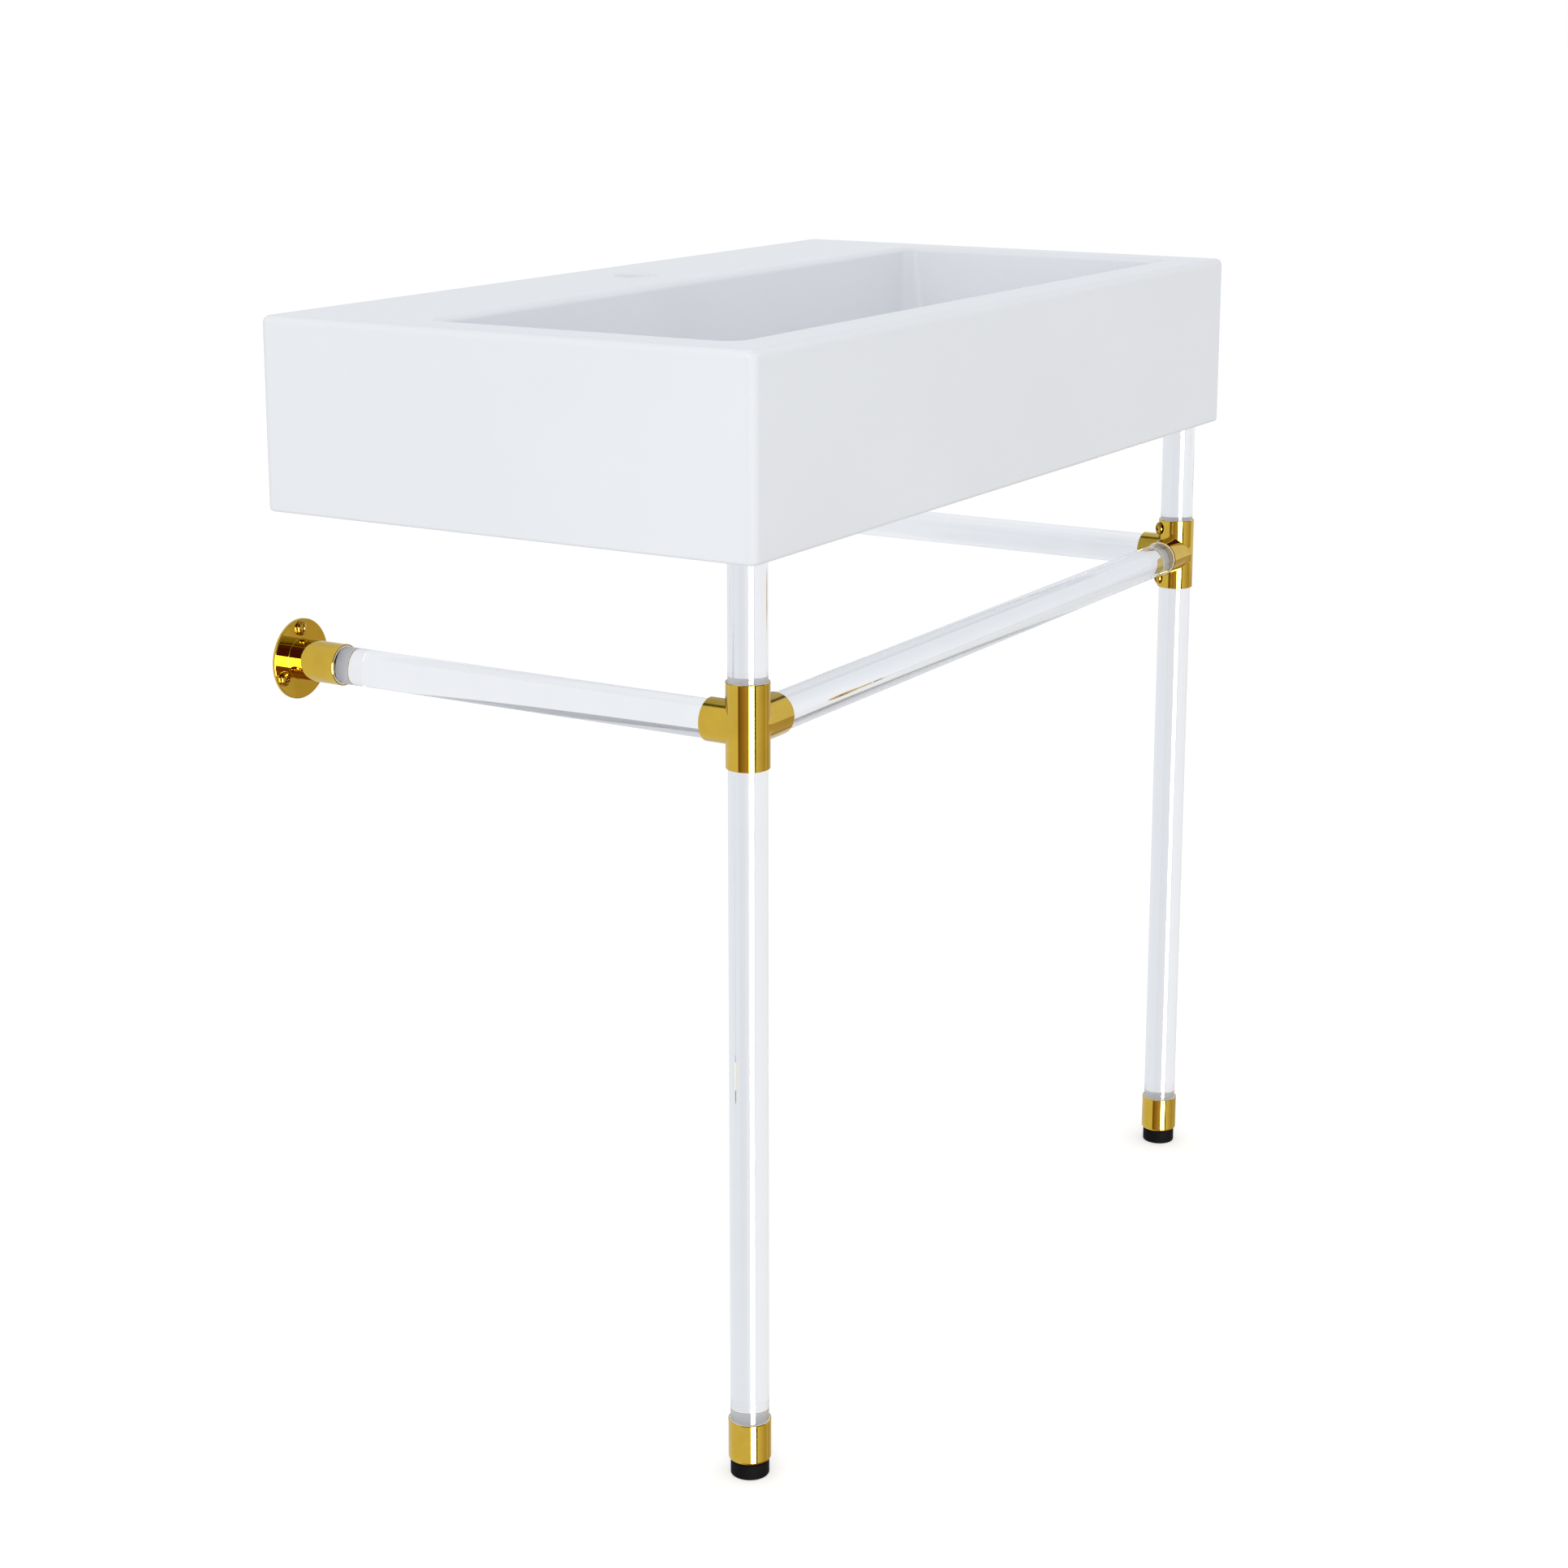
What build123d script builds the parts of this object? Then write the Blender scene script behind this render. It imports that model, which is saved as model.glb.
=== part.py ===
from build123d import *
import os
from math import cos, radians, sin, tan

# A ceramic console basin for one tap. It is bolted to the wall, and its front stands on two legs
# of clear rod. Brass corner fittings join each leg to a front towel rail and to a side towel rail,
# whose far end sits in a wall flange. The legs end in levelling feet.
#
# Millimetres. X runs along the wall, +Y points into the wall and +Z up. The origin is midway
# between the two wall bolts of the basin, on the wall's face.

# Basin
basin_width = 850.0
basin_depth = 450.0
basin_height = 154.0
top_edge_round = 6.0
side_corner_round = 8.0
bottom_edge_round = 3.0
ceramic_wall = 9.0
deck_thickness = 12.0
cavity_corner_round = 6.0

# Bowl
rim_width = 42.0
deck_depth = 134.0
bowl_depth = 112.0
bowl_draft = 8.0
bowl_mouth_corner = 14.0
bowl_floor_corner = 30.0
bowl_floor_round = 20.0
bowl_mouth_round = 5.0
bowl_under_round = 24.0
dish_radius = 100.0
dish_drop = 3.0
drain_hole_radius = 22.5
drain_seat_radius = 33.0
drain_seat_depth = 2.0

# Holes for the tap and the wall bolts
tap_hole_radius = 17.5
tap_hole_round = 4.5
wall_bolt_spacing = 280.0
wall_bolt_drop = 90.0
wall_bolt_hole_radius = 7.0
wall_bolt_pad_size = 56.0
wall_bolt_pad_thickness = 5.0

# Clear rods
rod_radius = 15.0
leg_inset_side = 33.5
leg_inset_front = 26.5
rail_drop = 279.0
floor_drop = 877.0

# Leg top: a rubber cap in a pocket under the basin's front corner
pocket_level = 140.0
pocket_depth = 4.0
pocket_block_reach = 62.0
cap_wall = 1.5
cap_top = 3.0
cap_height = 11.0

# Fits
rod_clearance = 0.05
seat_clearance = 0.3
bush_wall = 0.6
bush_length = 12.0
bush_screw_gap = 0.55

# Corner fittings
tube_radius = 16.65
fitting_height = 65.3
fitting_web = 4.0
front_arm_length = 39.0
side_arm_length = 33.0
arm_floor_wall = 0.8
mouth_chamfer = 0.35

# Wall flanges
flange_radius = 32.6
flange_thickness = 2.5
flange_edge_round = 0.8
flange_socket_length = 45.0
flange_socket_depth = 30.0
flange_screw_circle = 25.0
flange_screw_angles = (90.0, 210.0, 330.0)

# Screws
screw_head_radius = 6.0
screw_head_height = 3.5
screw_head_wall = 1.7
screw_shoulder_round = 1.4
screw_shank_radius = 2.0
screw_hole_clearance = 0.1
fitting_screw_offset = 24.0
fitting_screw_length = 12.0
screw_hole_spare = 1.5
cross_width = 1.7
cross_length = 7.0
cross_depth = 2.1

# Feet
ferrule_length = 33.0
ferrule_floor = 10.0
ferrule_edge_round = 2.2
foot_radius = 15.0
foot_height = 12.7
foot_gap = 0.3
foot_edge_chamfer = 1.0
foot_bead_groove = 0.8
foot_travel = 12.0
stud_radius = 4.0
stud_thread_clearance = 0.05
stud_spare = 2.0
stud_head_radius = 8.0
stud_head_height = 4.0
stud_head_lift = 3.0
stud_head_clearance = 0.3
key_flat_width = 5.0
key_depth = 3.0
key_access_radius = 4.5

# Places worked out from the sizes above
basin_top = wall_bolt_drop
basin_bottom = basin_top - basin_height
basin_front = -basin_depth
leg_x = basin_width / 2 - leg_inset_side
leg_y = basin_front + leg_inset_front
rail_z = basin_top - rail_drop
floor_z = basin_top - floor_drop
tap_y = -deck_depth / 2
bowl_length = basin_width - 2 * rim_width
bowl_width = basin_depth - rim_width - deck_depth
bowl_y = -deck_depth - bowl_width / 2
bowl_floor_z = basin_top - bowl_depth
pocket_rim_z = basin_top - pocket_level
pocket_roof_z = pocket_rim_z + pocket_depth
cap_radius = rod_radius + rod_clearance + cap_wall
leg_top_z = pocket_roof_z - cap_top
bush_inner = rod_radius + rod_clearance
bush_outer = bush_inner + bush_wall
bush_bore = bush_outer + rod_clearance
screw_hole_radius = screw_shank_radius + screw_hole_clearance
upright_bush_length = (
    fitting_height / 2 - fitting_screw_offset - screw_hole_radius - bush_screw_gap
)
socket_bore = rod_radius + 2 * rod_clearance
arm_floor = tube_radius + arm_floor_wall
foot_top_z = floor_z + foot_height
ferrule_bottom_z = foot_top_z + foot_gap
ferrule_top_z = ferrule_bottom_z + ferrule_length
stud_head_z = floor_z + stud_head_lift
stud_top_z = ferrule_bottom_z + ferrule_floor + foot_travel
leg_hole_top_z = stud_top_z + stud_spare
flange_mouth_y = -flange_thickness - flange_socket_length
sides = (("left", -1), ("right", 1))


def upright(radius, low, high, x=0.0, y=0.0):
    """A cylinder along Z from low to high."""
    return Pos(x, y, low) * Cylinder(
        radius, high - low, align=(Align.CENTER, Align.CENTER, Align.MIN)
    )


def along(start, direction, radius, length):
    """A cylinder of a given length from start, along direction."""
    plane = Plane(origin=start, z_dir=direction)
    return plane * Cylinder(radius, length, align=(Align.CENTER, Align.CENTER, Align.MIN))


def block(x_range, y_range, z_range):
    """A box between two limits on each axis."""
    spans = [high - low for low, high in (x_range, y_range, z_range)]
    middle = [(low + high) / 2 for low, high in (x_range, y_range, z_range)]
    return Pos(*middle) * Box(*spans)


def tapered_tub(top_z, floor_z, grow, mouth_corner, floor_corner):
    """A tub with straight tapered walls, its plan grown outwards by grow on every side."""
    mouth = Plane(origin=(0, bowl_y, top_z)) * RectangleRounded(
        bowl_length + 2 * grow, bowl_width + 2 * grow, mouth_corner
    )
    shrink = 2 * bowl_draft * (top_z - floor_z) / bowl_depth
    base = Plane(origin=(0, bowl_y, floor_z)) * RectangleRounded(
        bowl_length + 2 * grow - shrink, bowl_width + 2 * grow - shrink, floor_corner
    )
    return loft([mouth, base], ruled=True)


def bowl_hollow():
    """The space inside the bowl, with a coved floor, a shallow dish and the waste's seat."""
    tub = tapered_tub(basin_top, bowl_floor_z, 0.0, bowl_mouth_corner, bowl_floor_corner)
    tub = fillet(tub.faces().sort_by(Axis.Z)[0].edges(), bowl_floor_round)
    dish = Pos(0, bowl_y, bowl_floor_z) * Cone(
        drain_seat_radius, dish_radius, dish_drop, align=(Align.CENTER, Align.CENTER, Align.MAX)
    )
    seat_floor = bowl_floor_z - dish_drop - drain_seat_depth
    seat = upright(drain_seat_radius, seat_floor, bowl_floor_z, 0, bowl_y)
    hole = upright(drain_hole_radius, basin_bottom, bowl_floor_z, 0, bowl_y)
    return tub + dish + seat + hole


def bowl_shell():
    """The outside of the bowl as it is seen from under the basin."""
    under_z = bowl_floor_z - dish_drop - drain_seat_depth - ceramic_wall
    tub = tapered_tub(
        basin_top,
        under_z,
        ceramic_wall,
        bowl_mouth_corner + ceramic_wall,
        bowl_floor_corner + ceramic_wall,
    )
    return fillet(tub.faces().sort_by(Axis.Z)[0].edges(), bowl_under_round)


def leg_pocket_blocks():
    """Solid ceramic over each leg, down to the level of the pocket's rim."""
    blocks = []
    for _, side in sides:
        outer_x = side * basin_width / 2
        inner_x = outer_x - side * pocket_block_reach
        blocks.append(
            block(
                (min(outer_x, inner_x), max(outer_x, inner_x)),
                (basin_front, basin_front + pocket_block_reach),
                (pocket_rim_z, basin_top),
            )
        )
    return blocks


def wall_bolt_pads():
    """Thick places round the wall bolts, on the inside of the back wall."""
    pads = []
    for _, side in sides:
        x = side * wall_bolt_spacing / 2
        pads.append(
            block(
                (x - wall_bolt_pad_size / 2, x + wall_bolt_pad_size / 2),
                (-ceramic_wall - wall_bolt_pad_thickness, 0),
                (-wall_bolt_pad_size / 2, wall_bolt_pad_size / 2),
            )
        )
    return pads


def make_basin():
    """The whole ceramic casting: a slab with a bowl on top and a hollow underside."""
    body = block(
        (-basin_width / 2, basin_width / 2), (basin_front, 0), (basin_bottom, basin_top)
    )
    body = fillet(body.edges().filter_by(Axis.Z), side_corner_round)
    hollow = block(
        (-basin_width / 2 + ceramic_wall, basin_width / 2 - ceramic_wall),
        (basin_front + ceramic_wall, -ceramic_wall),
        (basin_bottom, basin_top - deck_thickness),
    )
    hollow = fillet(hollow.edges().filter_by(Axis.Z), cavity_corner_round)
    hollow -= bowl_shell()
    for lump in leg_pocket_blocks() + wall_bolt_pads():
        hollow -= lump
    bottom_face = body.faces().sort_by(Axis.Z)[0]
    body = fillet(bottom_face.edges(), bottom_edge_round)
    body = fillet(body.faces().sort_by(Axis.Z)[-1].edges(), top_edge_round)
    body = body - hollow - bowl_hollow()
    body -= upright(tap_hole_radius, basin_bottom, basin_top, 0, tap_y)
    top_face = body.faces().sort_by(Axis.Z)[-1]
    mouth, tap_rim = sorted(top_face.inner_wires(), key=lambda wire: -wire.length)
    body = fillet(mouth.edges(), bowl_mouth_round)
    tap_edges = [
        edge
        for edge in body.edges().filter_by(GeomType.CIRCLE)
        if abs(edge.radius - tap_hole_radius) < 0.01
        and abs(edge.arc_center.Z - basin_top) < 0.01
        and abs(edge.arc_center.Y - tap_y) < 0.01
    ]
    body = fillet(tap_edges, tap_hole_round)
    for _, side in sides:
        x = side * wall_bolt_spacing / 2
        depth = ceramic_wall + wall_bolt_pad_thickness
        body -= along((x, 0, 0), (0, -1, 0), wall_bolt_hole_radius, depth)
        pocket_radius = cap_radius + seat_clearance
        body -= upright(pocket_radius, pocket_rim_z, pocket_roof_z, side * leg_x, leg_y)
    return body


def cross_recess(start, direction):
    """A tapered cross cut into a screw head whose top is at start."""
    plane = Plane(origin=start, z_dir=direction)
    cut = None
    for turn in (0, 90):
        top = plane * Rot(0, 0, turn) * Rectangle(cross_length, cross_width)
        bottom = (
            plane
            * Pos(0, 0, -cross_depth)
            * Rot(0, 0, turn)
            * Rectangle(cross_length / 2, cross_width / 2)
        )
        bar = loft([top, bottom], ruled=True)
        cut = bar if cut is None else cut + bar
    return cut


def pan_screw(seat, direction, shank_length):
    """A pan-headed screw: its head's flat underside sits at seat and its shank points back. The
    head has a short straight wall, a rounded shoulder and a shallow dome."""
    plane = Plane(origin=seat, z_dir=direction)
    dome_rise = screw_head_height - screw_head_wall
    dome_radius = (screw_head_radius**2 + dome_rise**2) / (2 * dome_rise)
    ball = plane * Pos(0, 0, screw_head_height - dome_radius) * Sphere(dome_radius)
    head = ball & along(seat, direction, screw_head_radius, screw_head_height)
    shoulder = plane.origin + plane.z_dir * screw_head_wall
    head = fillet(ring_edges(head, shoulder, screw_head_radius), screw_shoulder_round)
    tip = plane.origin + plane.z_dir * screw_head_height
    head -= cross_recess(tuple(tip), direction)
    back = tuple(-component for component in direction)
    return head + along(seat, back, screw_shank_radius, shank_length)


def bush(mouth, direction, length):
    """A thin sleeve in a socket, level with its mouth."""
    back = tuple(-component for component in direction)
    return along(mouth, back, bush_outer, length) - along(mouth, back, bush_inner, length)


def socket_cut(mouth, direction, depth, seat_length):
    """The bore of a socket, wider over the first stretch, where the bush sits."""
    back = tuple(-component for component in direction)
    return along(mouth, back, socket_bore, depth) + along(mouth, back, bush_bore, seat_length)


def ring_edges(solid, centre, radius):
    """The circular edges of one radius whose centre is at one point."""
    return [
        edge
        for edge in solid.edges().filter_by(GeomType.CIRCLE)
        if abs(edge.radius - radius) < 0.01 and (edge.arc_center - Vector(centre)).length < 0.01
    ]


def fitting_mouths(side):
    """Each socket of a corner fitting: its name, its mouth, the way it opens, its depth and the
    length of its bush. The upright's bushes are short, to stay clear of the fitting's screws."""
    x, half = side * leg_x, fitting_height / 2
    upright_depth = half - fitting_web / 2
    return (
        ("top", (x, leg_y, rail_z + half), (0, 0, 1), upright_depth, upright_bush_length),
        ("bottom", (x, leg_y, rail_z - half), (0, 0, -1), upright_depth, upright_bush_length),
        (
            "front",
            (x - side * front_arm_length, leg_y, rail_z),
            (-side, 0, 0),
            front_arm_length - arm_floor,
            bush_length,
        ),
        (
            "side",
            (x, leg_y + side_arm_length, rail_z),
            (0, 1, 0),
            side_arm_length - arm_floor,
            bush_length,
        ),
    )


def fitting_screw_places(side):
    """The seat and direction of the two screws, on the inner corner between the arms."""
    direction = (-side * cos(radians(45)), sin(radians(45)), 0)
    places = []
    for lift in (fitting_screw_offset, -fitting_screw_offset):
        seat = (
            side * leg_x + direction[0] * tube_radius,
            leg_y + direction[1] * tube_radius,
            rail_z + lift,
        )
        places.append((seat, direction))
    return places


def make_corner_fitting(side):
    """A cast fitting: an upright tube with one arm to the other leg and one to the wall."""
    x = side * leg_x
    body = upright(
        tube_radius, rail_z - fitting_height / 2, rail_z + fitting_height / 2, x, leg_y
    )
    mouths = fitting_mouths(side)
    for _, mouth, direction, *_ in mouths[2:]:
        length = (Vector(mouth) - Vector(x, leg_y, rail_z)).length
        body += along((x, leg_y, rail_z), direction, tube_radius, length)
    for _, mouth, *_ in mouths:
        body = chamfer(ring_edges(body, mouth, tube_radius), mouth_chamfer)
    for _, mouth, direction, depth, seat_length in mouths:
        body -= socket_cut(mouth, direction, depth, seat_length)
    for seat, direction in fitting_screw_places(side):
        back = tuple(-component for component in direction)
        body -= along(seat, back, screw_hole_radius, tube_radius - socket_bore / 2)
    return body


def screw_holes_in_leg(rod, side):
    """Bores a leg rod for the fitting's screws."""
    for seat, direction in fitting_screw_places(side):
        back = tuple(-component for component in direction)
        rod -= along(seat, back, screw_hole_radius, fitting_screw_length + screw_hole_spare)
    return rod


def make_upper_leg(side):
    """The short rod from the corner fitting up into the basin's pocket."""
    low = rail_z + fitting_web / 2 + rod_clearance
    rod = upright(rod_radius, low, leg_top_z - rod_clearance, side * leg_x, leg_y)
    return screw_holes_in_leg(rod, side)


def make_lower_leg(side):
    """The long rod from the corner fitting down into the foot ferrule."""
    low = ferrule_bottom_z + ferrule_floor + rod_clearance
    high = rail_z - fitting_web / 2 - rod_clearance
    rod = upright(rod_radius, low, high, side * leg_x, leg_y)
    rod = screw_holes_in_leg(rod, side)
    stud_room = stud_radius + 2 * stud_thread_clearance
    return rod - upright(stud_room, low, leg_hole_top_z, side * leg_x, leg_y)


def make_leg_cap(side):
    """A rubber cap over the top of a leg, between the clear rod and the ceramic."""
    x = side * leg_x
    cap = upright(cap_radius, pocket_roof_z - cap_height, pocket_roof_z, x, leg_y)
    return cap - upright(bush_inner, pocket_roof_z - cap_height, leg_top_z, x, leg_y)


def make_front_rail():
    """The clear rail between the two corner fittings."""
    reach = leg_x - arm_floor - rod_clearance
    return along((-reach, leg_y, rail_z), (1, 0, 0), rod_radius, 2 * reach)


def make_side_rail(side):
    """The clear rail from a corner fitting back to the wall flange."""
    start = leg_y + arm_floor + rod_clearance
    end = flange_mouth_y + flange_socket_depth - rod_clearance
    return along((side * leg_x, start, rail_z), (0, 1, 0), rod_radius, end - start)


def flange_screw_seats(side):
    """The three places on the flange's face where its screws sit."""
    return [
        (
            side * leg_x + flange_screw_circle * cos(radians(angle)),
            -flange_thickness,
            rail_z + flange_screw_circle * sin(radians(angle)),
        )
        for angle in flange_screw_angles
    ]


def make_wall_flange(side):
    """A round plate flat on the wall, with a socket for the side rail."""
    x = side * leg_x
    plate = along((x, 0, rail_z), (0, -1, 0), flange_radius, flange_thickness)
    plate = fillet(
        ring_edges(plate, (x, -flange_thickness, rail_z), flange_radius), flange_edge_round
    )
    mouth = (x, flange_mouth_y, rail_z)
    tube = along((x, 0, rail_z), (0, -1, 0), tube_radius, -flange_mouth_y)
    tube = chamfer(ring_edges(tube, mouth, tube_radius), mouth_chamfer)
    body = plate + tube - socket_cut(mouth, (0, -1, 0), flange_socket_depth, bush_length)
    for seat in flange_screw_seats(side):
        start = (seat[0], 0, seat[2])
        body -= along(start, (0, -1, 0), screw_hole_radius, flange_thickness)
    return body


def make_ferrule(side):
    """A brass cup on the bottom of a leg, threaded through its floor for the foot's stud."""
    x = side * leg_x
    cup = upright(tube_radius, ferrule_bottom_z, ferrule_top_z, x, leg_y)
    cup = fillet(ring_edges(cup, (x, leg_y, ferrule_bottom_z), tube_radius), ferrule_edge_round)
    mouth = (x, leg_y, ferrule_top_z)
    cup = chamfer(ring_edges(cup, mouth, tube_radius), mouth_chamfer)
    cup -= socket_cut(mouth, (0, 0, 1), ferrule_length - ferrule_floor, bush_length)
    thread = stud_radius + stud_thread_clearance
    return cup - upright(thread, ferrule_bottom_z, ferrule_top_z, x, leg_y)


def make_foot_pad(side):
    """The black foot: it holds the stud's head and is bored underneath for the key."""
    x = side * leg_x
    pad = upright(foot_radius, floor_z, foot_top_z, x, leg_y)
    pad = chamfer(ring_edges(pad, (x, leg_y, floor_z), foot_radius), foot_edge_chamfer)
    groove_z = foot_top_z - foot_bead_groove
    groove = upright(foot_radius, groove_z, foot_top_z, x, leg_y)
    groove -= upright(foot_radius - foot_bead_groove, groove_z, foot_top_z, x, leg_y)
    pad -= groove
    room = stud_head_radius + stud_head_clearance
    low = stud_head_z - stud_head_clearance
    high = stud_head_z + stud_head_height + stud_head_clearance
    pad -= upright(room, low, high, x, leg_y)
    pad -= upright(key_access_radius, floor_z, low, x, leg_y)
    return pad - upright(stud_radius + stud_thread_clearance, high, foot_top_z, x, leg_y)


def make_foot_stud(side):
    """The stud that turns in the foot and screws up into the ferrule."""
    x = side * leg_x
    stud = upright(stud_radius, stud_head_z, stud_top_z, x, leg_y)
    stud += upright(stud_head_radius, stud_head_z, stud_head_z + stud_head_height, x, leg_y)
    socket_radius = key_flat_width / 2 / cos(radians(30))
    socket = Plane(origin=(x, leg_y, stud_head_z)) * RegularPolygon(socket_radius, 6)
    return stud - extrude(socket, key_depth)


def save(shape, name):
    """Writes one sub-part."""
    export_step(shape, f"parts/{name}.step")


def main():
    os.makedirs("parts", exist_ok=True)
    save(make_basin(), "basin")
    save(make_front_rail(), "rail_rod_front")
    for name, side in sides:
        save(make_leg_cap(side), f"leg_top_cap_{name}")
        save(make_upper_leg(side), f"leg_rod_upper_{name}")
        save(make_lower_leg(side), f"leg_rod_lower_{name}")
        save(make_side_rail(side), f"rail_rod_{name}")
        save(make_corner_fitting(side), f"corner_fitting_{name}")
        save(make_wall_flange(side), f"wall_flange_{name}")
        screws = [
            pan_screw(seat, (0, -1, 0), flange_thickness)
            for seat in flange_screw_seats(side)
        ]
        save(Compound(children=screws), f"flange_screws_{name}")
        screws = [
            pan_screw(seat, direction, fitting_screw_length)
            for seat, direction in fitting_screw_places(side)
        ]
        save(Compound(children=screws), f"fitting_screws_{name}")
        for place, mouth, direction, _, length in fitting_mouths(side):
            save(bush(mouth, direction, length), f"bush_{place}_{name}")
        mouth = (side * leg_x, flange_mouth_y, rail_z)
        save(bush(mouth, (0, -1, 0), bush_length), f"bush_flange_{name}")
        mouth = (side * leg_x, leg_y, ferrule_top_z)
        save(bush(mouth, (0, 0, 1), bush_length), f"bush_ferrule_{name}")
        save(make_ferrule(side), f"foot_ferrule_{name}")
        save(make_foot_pad(side), f"foot_pad_{name}")
        save(make_foot_stud(side), f"foot_stud_{name}")


main()
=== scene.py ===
from math import cos, pi, radians, sin, sqrt, tan

import bmesh
import bpy
import numpy as np
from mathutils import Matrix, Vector


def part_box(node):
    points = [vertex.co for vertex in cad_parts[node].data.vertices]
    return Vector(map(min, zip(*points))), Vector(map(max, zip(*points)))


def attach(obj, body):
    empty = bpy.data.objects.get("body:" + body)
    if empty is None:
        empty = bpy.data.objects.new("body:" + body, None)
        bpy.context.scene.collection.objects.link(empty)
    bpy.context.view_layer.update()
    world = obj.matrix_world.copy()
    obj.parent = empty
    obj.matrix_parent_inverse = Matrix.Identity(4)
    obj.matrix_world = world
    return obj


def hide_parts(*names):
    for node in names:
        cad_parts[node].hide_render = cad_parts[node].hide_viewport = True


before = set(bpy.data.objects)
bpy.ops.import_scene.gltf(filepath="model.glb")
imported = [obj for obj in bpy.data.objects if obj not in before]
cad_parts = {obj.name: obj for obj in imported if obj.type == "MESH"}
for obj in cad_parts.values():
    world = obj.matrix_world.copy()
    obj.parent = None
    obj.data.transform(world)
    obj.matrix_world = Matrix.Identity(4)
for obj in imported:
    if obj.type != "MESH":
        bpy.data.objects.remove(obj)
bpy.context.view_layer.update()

# Wall flanges
# Two turned brass plates, each with a socket for a side rail. Each is polished and lacquered, sits
# flat on the wall and is held there by three domed screws.
mm = 0.001
sides = ("left", "right")
round_steps = 128


def node_box(node):
    """The lowest and highest corner of a frame node, as arrays."""
    low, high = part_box(node)
    return np.array(low), np.array(high)


def corner(along, out, radius, start, end, steps=8):
    """Points of a round edge: a centre (along, out) plus radius times (cos, sin) of an angle that
    runs evenly from start to end, in degrees."""
    angle = np.radians(np.linspace(start, end, steps))
    return list(zip(along + radius * np.cos(angle), out + radius * np.sin(angle)))


def basis(direction):
    """Two unit vectors square to a direction, which with it make a right-handed set."""
    axis = np.array(direction, float)
    axis /= np.linalg.norm(axis)
    helper = np.array([0.0, 0.0, 1.0]) if abs(axis[2]) < 0.9 else np.array([1.0, 0.0, 0.0])
    first = np.cross(helper, axis)
    first /= np.linalg.norm(first)
    return first, np.cross(axis, first), axis


def grid_faces(rows, columns):
    """Quads over a grid of points, row by row; the last column joins the first."""
    row = np.arange(rows - 1)[:, None]
    column = np.arange(columns)[None, :]
    after = (column + 1) % columns
    a, b = row * columns + column, row * columns + after
    c, d = (row + 1) * columns + after, (row + 1) * columns + column
    return np.stack([a, b, c, d], -1).reshape(-1, 4)


def turned(profile, origin, direction, steps=round_steps):
    """A surface of revolution: each profile point (radius, distance) goes round the axis, so a
    point is origin + distance * axis + radius * (cos t * first + sin t * second)."""
    first, second, axis = basis(direction)
    radius, distance = np.array(profile, float).T
    turn = np.linspace(0, 2 * pi, steps, endpoint=False)
    ring = np.cos(turn)[:, None] * first + np.sin(turn)[:, None] * second
    points = (
        np.array(origin, float)
        + distance[:, None, None] * axis
        + radius[:, None, None] * ring[None]
    )
    return points.reshape(-1, 3), grid_faces(len(profile), steps)


def joined(*surfaces):
    """Several (points, faces) pairs as one."""
    points, faces, count = [], [], 0
    for some_points, some_faces in surfaces:
        points.append(some_points)
        faces.append(some_faces + count)
        count += len(some_points)
    return np.concatenate(points), np.concatenate(faces)


def closed_mesh(name, points, faces, weld=2e-6):
    """A mesh of quads whose equal points are welded, with every face turned outwards."""
    mesh = bpy.data.meshes.new(name)
    mesh.from_pydata(points.tolist(), [], faces.tolist())
    work = bmesh.new()
    work.from_mesh(mesh)
    bmesh.ops.remove_doubles(work, verts=work.verts, dist=weld)
    bmesh.ops.dissolve_degenerate(work, edges=work.edges, dist=weld)
    bmesh.ops.recalc_face_normals(work, faces=work.faces)
    work.to_mesh(mesh)
    work.free()
    return mesh


def as_object(name, points, faces):
    """An object at the origin that holds a closed mesh."""
    piece = bpy.data.objects.new(name, closed_mesh(name, points, faces))
    bpy.context.scene.collection.objects.link(piece)
    return piece


def settle(piece):
    """Applies a piece's modifiers to its mesh."""
    bpy.context.view_layer.update()
    graph = bpy.context.evaluated_depsgraph_get()
    old = piece.data
    piece.data = bpy.data.meshes.new_from_object(piece.evaluated_get(graph))
    piece.modifiers.clear()
    bpy.data.meshes.remove(old)


def combine(piece, tool, operation):
    """Cuts a closed tool mesh from a piece, or adds it, and drops the tool."""
    step = piece.modifiers.new(operation.lower(), "BOOLEAN")
    step.operation = operation
    step.solver = "EXACT"
    step.object = tool
    settle(piece)
    bpy.data.objects.remove(tool)


def shade(piece, crease=32):
    """Smooth shading with hard creases, and normals that keep large flat faces flat."""
    piece.data.shade_smooth()
    piece.data.set_sharp_from_angle(angle=radians(crease))
    weighted = piece.modifiers.new("flat_faces", "WEIGHTED_NORMAL")
    weighted.keep_sharp = True
    weighted.weight = 100
    settle(piece)


def fit(piece, material, body, slot_name, *nodes):
    """Gives a finished piece its material and puts it in the frame."""
    shade(piece)
    piece.data.materials.clear()
    piece.data.materials.append(material)
    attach(piece, body)
    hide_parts(*nodes)


def node_material(name):
    """A material with its principled shader, ready for textures."""
    material = bpy.data.materials.new(name)
    material.use_nodes = True
    tree = material.node_tree
    return material, tree, tree.nodes["Principled BSDF"]


def texture(tree, kind, scale, stretch=(1, 1, 1), **settings):
    """A texture on Object coordinates, stretched along each axis."""
    place = tree.nodes.new("ShaderNodeTexCoord")
    mapping = tree.nodes.new("ShaderNodeMapping")
    mapping.inputs["Scale"].default_value = stretch
    node = tree.nodes.new(kind)
    node.inputs["Scale"].default_value = scale
    for key, value in settings.items():
        node.inputs[key].default_value = value
    tree.links.new(place.outputs["Object"], mapping.inputs["Vector"])
    tree.links.new(mapping.outputs["Vector"], node.inputs["Vector"])
    return node


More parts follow.
